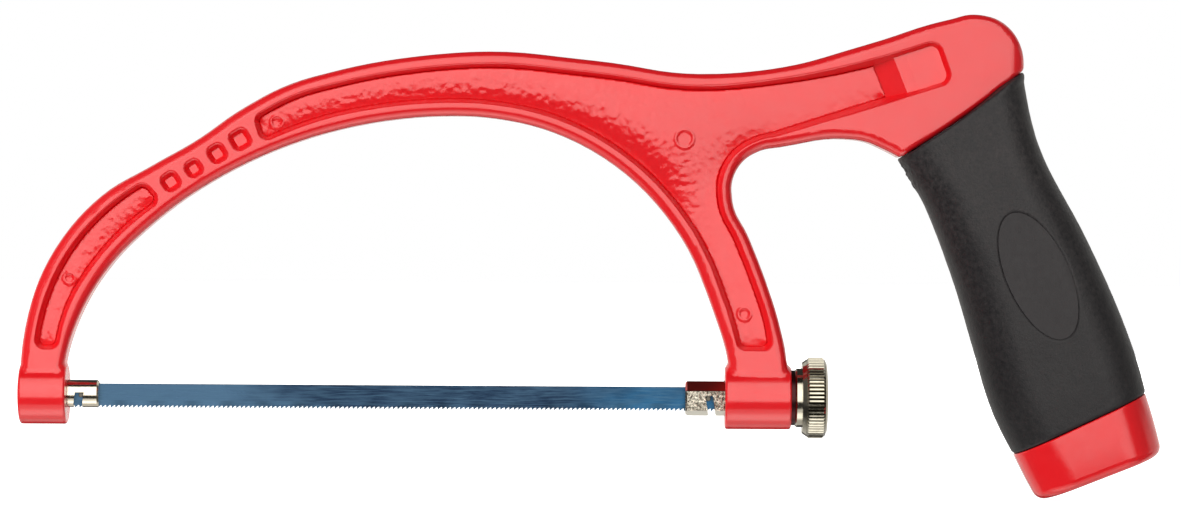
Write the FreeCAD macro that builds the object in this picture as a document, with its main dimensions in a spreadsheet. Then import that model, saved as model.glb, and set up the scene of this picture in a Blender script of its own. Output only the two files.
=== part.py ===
import FreeCAD, Part
import math
import os
import re

import Sketcher

# Mini hacksaw with a die-cast bow, a 150 mm blade and a two-component grip.
# Millimetres. The origin lies on the common axis of the two blade holders, straight above the
# front blade pin. +X runs along the blade towards the handle, +Z points up from the teeth to
# the bow, and Y runs across the saw. The saw is symmetrical about the XZ plane.

SIZES = [
    # The blade
    ("pin_span", 148.0, "distance between the two blade pins"),
    ("blade_overhang", 2.3, "blade length beyond each pin"),
    ("blade_back", 2.4, "height of the blade's back above the holder axis"),
    ("tooth_tip", 3.35, "depth of the tooth tips below the holder axis"),
    ("tooth_depth", 0.65, "depth of a tooth"),
    ("teeth_per_inch", 24.0, "number of teeth in 25.4 mm"),
    ("blade_gauge", 0.65, "thickness of the blade"),
    ("pin_drop", 0.25, "depth of the pin centres below the holder axis"),
    ("pin_diameter", 1.2, "diameter of a blade pin"),
    ("pin_length", 4.6, "length of a blade pin"),
    # The blade holders
    ("holder_diameter", 6.5, "diameter of the front holder"),
    ("holder_reach", 4.1, "how far the front holder reaches past its pin"),
    ("stud_diameter", 5.0, "diameter of the hole for the front holder's shank"),
    ("stud_play", 0.01, "gap around that shank and around the pins in the blade"),
    ("stud_end", -12.0, "blind end of the front holder's shank"),
    ("slit_width", 0.95, "width of the slit that takes the blade"),
    ("slit_top", 2.55, "height of the slit's closed edge"),
    ("slot_lean", 9.1, "angle of the pin slots from vertical, in degrees"),
    ("slot_width", 2.1, "width of the pin slots"),
    ("pin_play", 0.03, "gap between a pin and the slot wall it bears on"),
    ("hex_flats", 8.0, "width across the flats of the rear holder"),
    ("hex_drop", 0.8, "how far the hexagon's middle lies below the holder axis"),
    ("hex_foot", 4.3, "depth of the flat that cuts the hexagon's lowest corner"),
    ("hex_play", 0.08, "gap around the hexagon in its socket"),
    ("slot_flare", 1.2, "how far the rear pin slot widens at the bottom"),
    ("slit_end", 151.5, "closed end of the slit in the rear holder"),
    ("slit_start", -3.2, "closed end of the slit in the front holder"),
    ("hex_slot_width", 1.8, "width of the pin slot in the rear holder"),
    ("hex_start", 142.6, "free end of the rear holder"),
    ("hex_end", 158.5, "end of the rear holder's hexagon"),
    ("bolt_diameter", 4.9, "diameter of the draw bolt shank"),
    ("bolt_end", 173.6, "end of the draw bolt shank"),
    ("holder_chamfer", 0.4, "chamfer on the holders' edges"),
    # The tension knob
    ("washer_start", 167.6, "face of the washer against the rear boss"),
    ("washer_end", 168.4, "face of the washer against the knob"),
    ("washer_diameter", 13.0, "diameter of the washer"),
    ("knob_diameter", 19.0, "diameter over the knurl"),
    ("hub_diameter", 13.9, "diameter of the knob's hub"),
    ("hub_start", 168.45, "face of the knob's hub"),
    ("disc_start", 170.1, "front face of the knob's disc"),
    ("knurl_start", 171.1, "front end of the knurl"),
    ("knurl_end", 175.5, "back end of the knurl"),
    ("knob_end", 176.1, "top of the knob's slightly domed back"),
    ("knurl_depth", 0.42, "depth of the knurl"),
    ("knurl_count", 64.0, "number of grooves in the knurl"),
    ("thread_bore", 5.0, "bore of the knob"),
    # The cast frame
    ("frame_thickness", 10.0, "thickness of the bow"),
    ("head_thickness", 13.2, "thickness of the head above the grip"),
    ("web_thickness", 5.0, "thickness of the recessed web"),
    ("edge_round", 2.2, "rounding along the frame's outline"),
    ("rim_round", 0.5, "rounding along the recesses' rims"),
    ("recess_draft", 22.0, "draft of the recess walls, in degrees"),
    ("recess_reach", 4.5, "how far the recess walls are drawn out from the floor"),
    ("outer_rail", 3.9, "width of the rail along the outside of the bow"),
    ("inner_rail", 4.1, "width of the rail along the inside of the bow"),
    ("back_rail", 3.5, "width of the rail along the back of the rear arm"),
    ("dimple_depth", 1.9, "depth of the four square recesses"),
    ("dimple_draft", 30.0, "draft of their walls, in degrees"),
    ("dimple_round", 0.9, "rounding along their rims"),
    ("head_floor", 4.4, "distance of the head's shallow floor from the middle plane"),
    ("front_boss_start", -15.1, "closed end of the front boss"),
    ("front_boss_end", -3.4, "open end of the front boss"),
    ("front_boss_diameter", 14.4, "diameter of the front boss"),
    ("rear_boss_start", 151.9, "front end of the rear boss"),
    ("rear_boss_end", 167.55, "back end of the rear boss"),
    ("rear_boss_diameter", 15.0, "diameter of the rear boss"),
    ("boss_blend", 2.0, "blend between the arms and the bosses"),
    ("boss_dome", 0.6, "height of the dome on the front boss's closed end"),
    ("boss_round", 0.6, "rounding of the boss ends"),
    ("hex_socket_end", 160.5, "bottom of that socket"),
    ("bolt_hole", 5.4, "bore for the draw bolt through the rear boss"),
    # The grip
    ("grip_tilt", 21.5, "angle of the grip from vertical, in degrees"),
    ("grip_foot_x", 235.6, "place of the grip's foot along the saw"),
    ("grip_foot_z", -5.6, "height of the grip's foot"),
    ("seam_level", 78.1, "height of the chord of the seam with the head, on the grip's axis"),
    ("seam_tilt", 14.06, "angle of the seam with the head, across the grip, in degrees"),
    ("seam_chord", 35.8, "length of that chord"),
    ("seam_sag", 0.85, "how far the seam bulges towards the grip"),
    ("seam_round", 1.4, "rounding of the head's edge along the seam"),
    ("cap_tilt", 3.9, "angle of the seam with the cap, across the grip, in degrees"),
    ("skin", 3.0, "thickness of the soft sleeve"),
    ("part_gap", 0.08, "gap between neighbouring grip pieces"),
    ("tang_width", 15.0, "width of the frame's tang inside the grip"),
    ("tang_thickness", 8.0, "thickness of the tang"),
    ("tang_foot", 6.0, "height of the tang's end above the grip's foot"),
    ("cap_length", 13.6, "length of the butt cap"),
    ("cap_round", 2.6, "rounding of the butt cap's bottom edge"),
    ("cap_edge", 0.4, "rounding of the cap's edge at the sleeve"),
    ("badge_length", 31.8, "length of the oval inlay"),
    ("badge_width", 14.6, "width of the oval inlay"),
    ("badge_height", 36.3, "height of the inlay's middle above the grip's foot"),
    ("badge_shift", 2.7, "how far the inlay's middle lies behind the grip's axis"),
    ("badge_turn", 2.9, "angle of the inlay from the grip's axis, in degrees"),
    ("badge_level", 9.3, "distance of the inlays' seats from the middle plane"),
    # The screw in the butt cap
    ("screw_diameter", 4.0, "diameter of the cap screw"),
    ("screw_head", 8.0, "diameter of the cap screw's countersunk head"),
    ("screw_length", 26.0, "length of the cap screw"),
    ("screw_play", 0.1, "gap around the cap screw"),
    ("screw_cross", 1.0, "width of the screw's cross recess"),
]

# Outlines of the casting, as points (x, z) on its side view. Smooth curves run through them.
OUTER_EDGE = [
    (-14.2, 1.0), (-13.7, 12.4), (-7.9, 31.3), (4.6, 46.7), (17.3, 54.4), (25.9, 59.3),
    (38.3, 67.8), (47.0, 72.5), (61.3, 76.9), (80.9, 80.3), (95.8, 81.3), (120.6, 79.3),
    (145.3, 76.3), (165.1, 78.0), (184.8, 83.4), (203.4, 89.2), (210.3, 90.6), (217.0, 88.6),
    (220.8, 84.0), (221.8, 77.6),
]
INNER_EDGE = [
    (-4.4, 1.0), (-3.1, 10.6), (0.3, 19.9), (5.4, 28.5), (19.5, 42.6), (36.2, 53.4),
    (54.6, 61.0), (74.1, 65.2), (84.0, 66.0), (95.0, 65.8), (110.9, 62.4), (128.2, 52.6), (141.3, 37.8),
    (149.2, 20.0), (152.3, 10.0), (153.2, 1.0),
]
BACK_EDGE = [
    (192.7, 56.8), (189.1, 58.7), (184.5, 60.6), (179.5, 61.2), (164.7, 59.2), (159.9, 58.3),
    (155.7, 55.6), (153.4, 51.3), (153.4, 46.4), (157.5, 37.3), (161.2, 28.0), (164.3, 18.6),
    (166.4, 8.9), (166.7, 1.0),
]
# The corners of the recesses' floors that lie away from those outlines.
FRONT_RECESS_TOP = [(14.6, 49.0), (17.6, 45.8)]
FRONT_RECESS_FOOT = [(-9.9, 11.5), (-6.2, 11.5)]
LONG_RECESS_FRONT = [(42.9, 60.6), (41.6, 65.0)]
LONG_RECESS_HEAD = [(200.6, 82.6), (203.1, 75.6), (163.0, 62.7)]
LONG_RECESS_FOOT = [(155.7, 12.2), (161.9, 12.2)]
# Middles of the four square recesses, their sizes at the floor, and the turn of the arm there.
DIMPLES = [((21.0, 50.1), 2.1, 34.0), ((26.4, 53.2), 1.8, 33.0), ((31.9, 56.8), 2.1, 32.0),
           ((37.3, 60.1), 2.5, 31.0)]
DIMPLE_CORNER = 0.4
# Round marks that the ejector pins leave on the web, as middle and diameter.
EJECTOR_MARKS = [((-2.8, 27.3), 3.0), ((45.9, 64.4), 3.3), ((142.0, 61.0), 4.2), ((156.4, 19.8), 3.2)]
EJECTOR_RING = 0.35
EJECTOR_HEIGHT = 0.12
# The ramp in the head's recess and the gentle step above it: distances along the cross
# direction of the grip, and the height of the step below the shallow floor.
RAMP_START = 202.2
RAMP_END = 207.3
STEP_END = 209.9
STEP_DROP = 0.3
HEAD_WALL = 220.0
# Outline of the grip: height above the foot, shift of the middle, half width, half thickness.
GRIP_STATIONS = [
    (-4.0, 0.0, 16.6, 11.2), (6.0, 0.0, 17.8, 11.9), (14.0, 0.2, 18.1, 12.0),
    (26.0, 0.7, 17.5, 12.0), (42.0, 0.8, 16.3, 11.4), (60.0, -0.2, 15.1, 10.2),
    (70.0, -0.7, 15.9, 9.5), (84.0, -0.2, 18.0, 9.2),
]
CAP_STATIONS = [(4.0, 0.0, 17.2, 11.7), (-5.0, 0.0, 16.7, 11.4), (-13.6, 0.0, 15.6, 10.6)]

vector = FreeCAD.Vector


# ---------------------------------------------------------------- the sheet and small helpers

def make_sheet(doc):
    """Write the driving dimensions into a spreadsheet and return its values by name."""
    sheet = doc.addObject("Spreadsheet::Sheet", "sizes")
    for row, (alias, value, meaning) in enumerate(SIZES, start=1):
        sheet.set("A%d" % row, meaning)
        sheet.set("B%d" % row, str(value))
        sheet.setAlias("B%d" % row, alias)
    doc.recompute()
    return {alias: float(sheet.get(alias)) for alias, value, meaning in SIZES}


def cell(text):
    """Put the sheet's name before each of its own names in an expression."""
    names = {alias for alias, value, meaning in SIZES}
    return re.sub("[a-z_]+", lambda word: "sizes." * (word[0] in names) + word[0], text)


def new_body(doc, name):
    body = doc.addObject("PartDesign::Body", name)
    body.Label = name
    return body


def sketch_on(body, plane, name, offset=None, turn=None, base=None):
    """A sketch on one of the body's own origin planes, moved along its normal or turned about Y."""
    sketch = body.newObject("Sketcher::SketchObject", name)
    support = next(item for item in body.Origin.OriginFeatures if item.Role == plane)
    sketch.AttachmentSupport = [(support, "")]
    sketch.MapMode = "FlatFace"
    if turn is not None:
        rotation = FreeCAD.Rotation(vector(0, 1, 0), -turn)
        sketch.AttachmentOffset = FreeCAD.Placement(vector(*base), rotation)
    if offset is not None:
        sketch.setExpression("AttachmentOffset.Base.z", cell(offset))
    return sketch


def draw_polygon(sketch, corners):
    """A closed polygon whose corners are pairs of expressions in the sheet's names."""
    points = []
    for across, up in corners:
        x = float(sketch.evalExpression(cell(across)))
        y = float(sketch.evalExpression(cell(up)))
        points.append(vector(x, y, 0))
    first = sketch.GeometryCount
    count = len(points)
    for index in range(count):
        sketch.addGeometry(Part.LineSegment(points[index], points[(index + 1) % count]), False)
    for index in range(count):
        follower = first + (index + 1) % count
        sketch.addConstraint(Sketcher.Constraint("Coincident", first + index, 2, follower, 1))
    for index, (across, up) in enumerate(corners):
        line = first + index
        level = sketch.addConstraint(
            Sketcher.Constraint("DistanceX", -1, 1, line, 1, points[index].x))
        sketch.setExpression("Constraints[%d]" % level, cell(across))
        rise = sketch.addConstraint(
            Sketcher.Constraint("DistanceY", -1, 1, line, 1, points[index].y))
        sketch.setExpression("Constraints[%d]" % rise, cell(up))


def draw_circle(sketch, across, up, diameter):
    """A circle whose middle and diameter are expressions in the sheet's names."""
    x = float(sketch.evalExpression(cell(across)))
    y = float(sketch.evalExpression(cell(up)))
    radius = float(sketch.evalExpression(cell(diameter))) / 2
    circle = sketch.addGeometry(Part.Circle(vector(x, y, 0), vector(0, 0, 1), radius), False)
    rules = [("DistanceX", across, x), ("DistanceY", up, y)]
    for kind, text, value in rules:
        place = sketch.addConstraint(Sketcher.Constraint(kind, -1, 1, circle, 3, value))
        sketch.setExpression("Constraints[%d]" % place, cell(text))
    size = sketch.addConstraint(Sketcher.Constraint("Diameter", circle, 2 * radius))
    sketch.setExpression("Constraints[%d]" % size, cell(diameter))


def draw_curves(sketch, curves):
    """Fixed geometry for a free-form outline."""
    for curve in curves:
        number = sketch.addGeometry(curve, False)
        sketch.addConstraint(Sketcher.Constraint("Block", number))


def pad(body, sketch, length, symmetric=False, reverse=False, taper=None):
    feature = body.newObject("PartDesign::Pad", sketch.Name + "_pad")
    feature.Profile = sketch
    feature.SideType = "Symmetric" if symmetric else "One side"
    feature.Reversed = reverse
    feature.setExpression("Length", cell(length))
    if taper is not None:
        feature.setExpression("TaperAngle", cell(taper))
    return feature


def pocket(body, sketch, length=None, symmetric=False, reverse=False, taper=None):
    """Cut a sketch out of the body, through everything when no length is given."""
    feature = body.newObject("PartDesign::Pocket", sketch.Name + "_cut")
    feature.Profile = sketch
    feature.SideType = "Symmetric" if symmetric else "One side"
    feature.Reversed = reverse
    if length is None:
        feature.Type = "ThroughAll"
    else:
        feature.setExpression("Length", cell(length))
    if taper is not None:
        feature.setExpression("TaperAngle", cell(taper))
    return feature


def revolve(body, sketch):
    feature = body.newObject("PartDesign::Revolution", sketch.Name + "_turned")
    feature.Profile = sketch
    feature.ReferenceAxis = (sketch, ["H_Axis"])
    feature.Angle = 360
    return feature


def loft(body, sections, additive=True):
    kind = "PartDesign::AdditiveLoft" if additive else "PartDesign::SubtractiveLoft"
    feature = body.newObject(kind, sections[0].Name + "_loft")
    feature.Profile = sections[0]
    feature.Sections = sections[1:]
    return feature


def mirror_across(body, features):
    """Repeat features on the other side of the saw's middle plane."""
    feature = body.newObject("PartDesign::Mirrored", features[0].Name + "_mirrored")
    plane = next(item for item in body.Origin.OriginFeatures if item.Role == "XZ_Plane")
    feature.MirrorPlane = (plane, [""])
    feature.Originals = features
    body.Tip = feature
    return feature


def fillet(body, base, radius, wanted):
    """Round the edges of base for which wanted(edge) is true."""
    names = ["Edge%d" % (index + 1) for index, edge in enumerate(base.Shape.Edges)
             if not edge.Degenerated and wanted(edge)]
    feature = body.newObject("PartDesign::Fillet", base.Name + "_round")
    feature.Base = (base, names)
    feature.setExpression("Radius", cell(radius))
    return feature


def is_at(edge, place):
    """True for an edge that lies in the plane across the X axis at place."""
    return all(abs(point.x - place) < 1e-3 for point in edge.discretize(5))


def chamfer(body, base, size, wanted):
    names = ["Edge%d" % (index + 1) for index, edge in enumerate(base.Shape.Edges)
             if not edge.Degenerated and wanted(edge)]
    feature = body.newObject("PartDesign::Chamfer", base.Name + "_bevel")
    feature.Base = (base, names)
    feature.setExpression("Size", cell(size))
    return feature


# ------------------------------------------------------------------------- smooth outlines

def unit(step):
    return step * (1.0 / step.Length)


def directions(points):
    """The direction of travel at each point, from the circle through it and its neighbours."""
    steps = [later - earlier for earlier, later in zip(points, points[1:])]
    result = []
    for before, after in zip(steps, steps[1:]):
        result.append(unit(unit(before) * after.Length + unit(after) * before.Length))
    chord = unit(steps[0])
    first = chord * (2 * chord.dot(result[0])) - result[0]
    chord = unit(steps[-1])
    last = chord * (2 * chord.dot(result[-1])) - result[-1]
    return [first] + result + [last]


def arc_from(start, heading, end):
    """The arc that leaves start along heading and reaches end, or a line if it is straight."""
    step = end - start
    side = vector(-heading.y, heading.x, 0)
    offset = step.dot(side)
    if abs(offset) < 1e-4 * step.Length:
        return Part.LineSegment(start, end)
    centre = start + side * (step.Length ** 2 / (2 * offset))
    middle = start + step * 0.5
    crown = centre + unit(middle - centre) * (start - centre).Length
    return Part.Arc(start, crown, end)


def smooth_path(points, headings=None):
    """Tangent arcs, two for each step, through the points."""
    headings = headings or directions(points)
    curves = []
    for index in range(len(points) - 1):
        start, end = points[index], points[index + 1]
        leave, arrive = headings[index], headings[index + 1]
        step = end - start
        turn = 2 * (1 - leave.dot(arrive))
        along = step.dot(leave + arrive)
        if turn < 1e-9:
            reach = step.dot(step) / (2 * along)
        else:
            reach = (math.sqrt(along ** 2 + turn * step.dot(step)) - along) / turn
        joint = (start + end + (leave - arrive) * reach) * 0.5
        curves.append(arc_from(start, leave, joint))
        back = arc_from(end, arrive * -1, joint)
        curves.append(back)
    return curves


def flat(points):
    return [vector(x, z, 0) for x, z in points]


def moved_in(points, distance):
    """Points moved to the left of the direction of travel."""
    return [point + vector(-way.y, way.x, 0) * distance
            for point, way in zip(points, directions(points))]


def lines_through(points):
    return [Part.LineSegment(start, end) for start, end in zip(points, points[1:])]


def rounded_face(curves, radius):
    """The face inside closed curves, with its outward corners rounded."""
    edges = [curve.toShape() for curve in curves]
    wire = Part.Wire(Part.__sortEdges__(edges))
    face = Part.Face(wire)
    return face.makeOffset2D(-radius).makeOffset2D(radius)


def face_curves(face):
    """The outline of a face as sketch geometry."""
    curves = []
    for edge in face.OuterWire.Edges:
        if edge.Curve.TypeId == "Part::GeomCircle":
            start, end = edge.ParameterRange
            middle = edge.valueAt((start + end) / 2)
            curves.append(Part.Arc(edge.valueAt(start), middle, edge.valueAt(end)))
        else:
            curves.append(Part.LineSegment(edge.firstVertex().Point, edge.lastVertex().Point))
    return curves


def line_direction(angle):
    """The unit step along a line at an angle above the X axis, in degrees."""
    turn = math.radians(angle)
    return vector(math.cos(turn), math.sin(turn), 0)


# ------------------------------------------------------------------------- the cast frame

def grip_point(size, across, up):
    """A point given along and across the grip, as a point of the side view."""
    across_way = line_direction(size["grip_tilt"])
    up_way = vector(-across_way.y, across_way.x, 0)
    return vector(size["grip_foot_x"], size["grip_foot_z"], 0) + across_way * across + up_way * up


def seam_point(size, distance, drop):
    """A point of the bulging seam, in the grip's axes, by its distance along the chord."""
    way = line_direction(size["seam_tilt"])
    up = vector(-way.y, way.x, 0)
    sag = size["seam_sag"] * (1 - (2 * distance / size["seam_chord"]) ** 2)
    return vector(0, size["seam_level"], 0) + way * distance - up * (sag + drop)


def frame_outline(size):
    """The bow, the rear arm and the head seen from the side, down to the seam with the grip."""
    outer, inner, back = flat(OUTER_EDGE), flat(INNER_EDGE), flat(BACK_EDGE)
    curves = smooth_path(outer) + smooth_path(inner) + smooth_path(back)
    bulge = seam_point(size, 0, 0)
    curves.append(Part.Arc(outer[-1], grip_point(size, bulge.x, bulge.y), back[0]))
    curves += lines_through([back[-1], inner[-1]]) + lines_through([inner[0], outer[0]])
    return curves


def thickness_outline(size, side):
    """What is cut away beside the casting, seen from above: the bow is thinner than the head,
    and the nose is rounded."""
    bow = size["frame_thickness"] / 2
    head = size["head_thickness"] / 2
    start, swell, nose = (-40, 145, 0), (145, 200, 0), (212, 222.6, 2.2)
    far_x, far_y = 240, 20
    ahead = vector(1, 0, 0)
    grow = smooth_path([vector(swell[0], bow, 0), vector(swell[1], head, 0)], [ahead, ahead])
    turn = line_direction(-75)
    shrink = smooth_path([vector(nose[0], head, 0), vector(nose[1], nose[2], 0)], [ahead, turn])
    straight = lines_through([vector(start[0], bow, 0), vector(swell[0], bow, 0)])
    straight += lines_through([vector(swell[1], head, 0), vector(nose[0], head, 0)])
    straight += lines_through([vector(nose[1], nose[2], 0), vector(far_x, nose[2], 0),
                               vector(far_x, far_y, 0), vector(start[0], far_y, 0),
                               vector(start[0], bow, 0)])
    curves = straight + grow + shrink
    if side < 0:
        for curve in curves:
            curve.mirror(vector(0, 0, 0), vector(1, 0, 0))
    return curves


def inside(points, low_x, high_x, low_z):
    return [point for point in points if low_x < point.x < high_x and point.y > low_z]


def front_recess(size):
    """Floor of the recess in the front arm."""
    outer = inside(moved_in(flat(OUTER_EDGE), -size["outer_rail"]), -12, 14, 15)
    inner = inside(moved_in(flat(INNER_EDGE), size["inner_rail"]), -12, 14, 15)
    top, foot = flat(FRONT_RECESS_TOP), flat(FRONT_RECESS_FOOT)
    curves = smooth_path(foot[:1] + outer + top[:1])
    curves += smooth_path(foot[1:] + inner + top[1:])
    curves += lines_through(top) + lines_through(foot)
    return rounded_face(curves, 1.3)


def long_recess(size):
    """Floor of the recess that runs along the bow, down the rear arm and into the head."""
    outer = inside(moved_in(flat(OUTER_EDGE), -size["outer_rail"]), 44, 176, 15)
    inner = inside(moved_in(flat(INNER_EDGE), size["inner_rail"]), 48, 160, 16)
    back = inside(moved_in(flat(BACK_EDGE), -size["back_rail"]), 140, 162.5, 16)
    front, foot = flat(LONG_RECESS_FRONT), flat(LONG_RECESS_FOOT)
    head = flat(LONG_RECESS_HEAD)
    curves = smooth_path(front[1:] + outer + head[:1])
    curves += smooth_path(front[:1] + inner + foot[:1])
    curves += smooth_path(head[2:] + back + foot[1:])
    curves += lines_through(head) + lines_through(foot) + lines_through(front)
    return rounded_face(curves, 1.2)


def square_face(middle, side, turn, radius):
    across = line_direction(turn) * (side / 2)
    up = vector(-across.y, across.x, 0)
    centre = vector(middle[0], middle[1], 0)
    corners = [centre - across - up, centre + across - up, centre + across + up,
               centre - across + up]
    return rounded_face(lines_through(corners + corners[:1]), radius)


def is_outline_edge(edge):
    """True for the long edges of the flat casting that get the big rounding."""
    points = edge.discretize(5)
    xs = [point.x for point in points]
    ys = [point.y for point in points]
    zs = [point.z for point in points]
    runs_across = max(ys) - min(ys) > 1.9 * abs(max(xs) - min(xs)) + 1e-3 and \
        max(zs) - min(zs) < 1e-3
    stands_on_face = max(xs) - min(xs) < 1e-6
    at_bosses = max(zs) < 1.1
    return not (runs_across or stands_on_face or at_bosses or is_seam_edge(edge))


def is_seam_edge(edge):
    """True for an edge that runs along the seam between head and grip."""
    start, end = flat([BACK_EDGE[0], OUTER_EDGE[-1]])
    way = unit(end - start)
    for point in edge.discretize(3):
        gap = vector(point.x, point.z, 0) - start
        if not -1.0 < gap.y * way.x - gap.x * way.y < 0.05:
            return False
    return True


def normal_near(face, point):
    u, v = face.Surface.parameter(point)
    return face.normalAt(u, v)


def is_recess_rim(shape, edge, level):
    """True for a sharp edge where a recess wall meets the outer face of the casting."""
    points = edge.discretize(5)
    if min(abs(point.y) for point in points) < level - 0.05:
        return False
    if min(point.z for point in points) < 8.5 or max(point.x for point in points) > 207:
        return False
    faces = shape.ancestorsOfType(edge, Part.Face)
    if len(faces) != 2:
        return False
    middle = points[2]
    bend = normal_near(faces[0], middle).getAngle(normal_near(faces[1], middle))
    return math.radians(20) < bend < math.radians(160)


def is_at_dimple(edge):
    middle = edge.discretize(3)[1]
    return any(math.hypot(middle.x - x, middle.z - z) < 4 for (x, z), side, turn in DIMPLES)


def make_bow_frame(doc, size):
    """The casting: bow, bosses, head and the tang inside the grip, with recessed webs."""
    body = new_body(doc, "bow_frame")
    outline = sketch_on(body, "XZ_Plane", "frame_outline")
    draw_curves(outline, frame_outline(size))
    blank = pad(body, outline, "head_thickness", symmetric=True)
    doc.recompute()

    flanks = sketch_on(body, "XY_Plane", "frame_flanks")
    draw_curves(flanks, thickness_outline(size, 1) + thickness_outline(size, -1))
    shaped = pocket(body, flanks, symmetric=True)
    doc.recompute()
    rounded = fillet(body, shaped, "edge_round", is_outline_edge)
    doc.recompute()
    fillet(body, rounded, "seam_round", is_seam_edge)
    doc.recompute()

    add_boss(body, "front_boss", size["front_boss_start"], size["front_boss_end"],
             size["front_boss_diameter"] / 2, size["boss_dome"], size["boss_round"])
    bosses = add_boss(body, "rear_boss", size["rear_boss_start"], size["rear_boss_end"],
                      size["rear_boss_diameter"] / 2, 0.0, size["boss_round"])
    doc.recompute()
    fillet(body, bosses, "boss_blend", is_boss_blend)
    doc.recompute()
    add_tang(body, size)
    doc.recompute()
    cut_bores(body, size)
    doc.recompute()
    cut_recesses(doc, body, size)
    return body


def add_boss(body, name, start, end, radius, dome, edge):
    """A turned boss along the X axis with rounded rims; the closed end is slightly domed."""
    pole, rim = vector(start, 0, 0), vector(start + dome, radius - edge, 0)
    if dome:
        cap = Part.Arc(pole, vector(start + dome / 4, (radius - edge) / 2, 0), rim)
    else:
        cap = Part.LineSegment(pole, rim)
    curves = [cap]
    curves.append(corner_arc(rim, vector(start + dome + edge, radius, 0), -1))
    right = vector(end - edge, radius, 0)
    curves += lines_through([curves[-1].EndPoint, right])
    curves.append(corner_arc(right, vector(end, radius - edge, 0), 1))
    curves += lines_through([vector(end, radius - edge, 0), vector(end, 0, 0), pole])
    profile = sketch_on(body, "XZ_Plane", name)
    draw_curves(profile, curves)
    return revolve(body, profile)


def corner_arc(start, end, side):
    """A quarter turn between two points, bulging up and towards side."""
    centre = vector(start.x if side > 0 else end.x, start.y if side < 0 else end.y, 0)
    radius = abs(end.x - start.x)
    return Part.Arc(start, centre + vector(side, 1, 0) * (radius / math.sqrt(2)), end)


def is_boss_blend(edge):
    """True for an edge where an arm runs into the turned wall of a boss."""
    points = edge.discretize(5)
    radii = [math.hypot(point.y, point.z) for point in points]
    xs = [point.x for point in points]
    on_boss = all(7.15 < radius < 7.55 for radius in radii)
    return on_boss and min(point.z for point in points) > 1.0 and max(xs) - min(xs) > 1.0


def add_tang(body, size):
    """The bar that reaches down inside the grip."""
    half = size["tang_width"] / 2
    tang = sketch_on(body, "XZ_Plane", "tang")
    corners = [grip_point(size, -half, size["tang_foot"]), grip_point(size, half, size["tang_foot"]),
               grip_point(size, half, size["seam_level"] + 6),
               grip_point(size, -half, size["seam_level"] + 2)]
    draw_curves(tang, lines_through(corners + corners[:1]))
    pad(body, tang, "tang_thickness", symmetric=True)


def cut_bores(body, size):
    """The blind hole for the front holder, the socket and bore for the draw bolt."""
    stud = sketch_on(body, "YZ_Plane", "stud_hole", offset="front_boss_end")
    draw_circle(stud, "0", "0", "stud_diameter")
    pocket(body, stud, "front_boss_end - stud_end")
    socket = sketch_on(body, "YZ_Plane", "hex_socket", offset="rear_boss_start")
    draw_hexagon(socket, "hex_play")
    pocket(body, socket, "hex_socket_end - rear_boss_start", reverse=True)
    bolt = sketch_on(body, "YZ_Plane", "bolt_hole_circle", offset="rear_boss_start")
    draw_circle(bolt, "0", "0", "bolt_hole")
    pocket(body, bolt, "rear_boss_end - rear_boss_start", reverse=True)
    foot = grip_point(size, 0, size["tang_foot"])
    screw = sketch_on(body, "XY_Plane", "screw_hole", turn=size["grip_tilt"],
                      base=(foot.x, 0, foot.y))
    draw_circle(screw, "0", "0", "screw_diameter + 2 * screw_play")
    pocket(body, screw, "screw_length / 2", reverse=True)


def draw_hexagon(sketch, play):
    """A hexagon with upright sides, a corner on top and its lowest corner cut flat."""
    half = "(hex_flats / 2 + %s)" % play
    slope = "tan(30)"
    foot = "hex_foot + %s" % play
    right = [
        (half, "-hex_drop + %s * %s" % (half, slope)),
        (half, "-hex_drop - %s * %s" % (half, slope)),
        ("(hex_drop + 2 * %s * %s - %s) / %s" % (half, slope, foot, slope), "-(%s)" % foot),
    ]
    left = [("-(%s)" % across, up) for across, up in reversed(right)]
    draw_polygon(sketch, [("0", "-hex_drop + 2 * %s * %s" % (half, slope))] + right + left)


def sink_recess(doc, body, size, name, face, floor_level, draft="recess_draft"):
    """Cut a recess with leaning walls, from its floor out past the face of the casting."""
    floor = sketch_on(body, "XZ_Plane", name + "_floor", offset=floor_level)
    draw_curves(floor, face_curves(face))
    lean = size["recess_reach"] * math.tan(math.radians(size[draft]))
    rim = sketch_on(body, "XZ_Plane", name + "_rim", offset=floor_level + " + recess_reach")
    draw_curves(rim, face_curves(face.makeOffset2D(lean)))
    feature = loft(body, [floor, rim], additive=False)
    feature.Ruled = True
    doc.recompute()
    return feature


def ejector_marks(body):
    """The faint raised rings that ejector pins leave on the web."""
    features = []
    for number, ((x, z), diameter) in enumerate(EJECTOR_MARKS, start=1):
        ring = sketch_on(body, "XZ_Plane", "ejector_mark_%d" % number, offset="web_thickness / 2")
        for across in (diameter, diameter - 2 * EJECTOR_RING):
            draw_circle(ring, str(x), str(z), str(across))
        features.append(pad(body, ring, str(EJECTOR_HEIGHT)))
    return features


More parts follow.
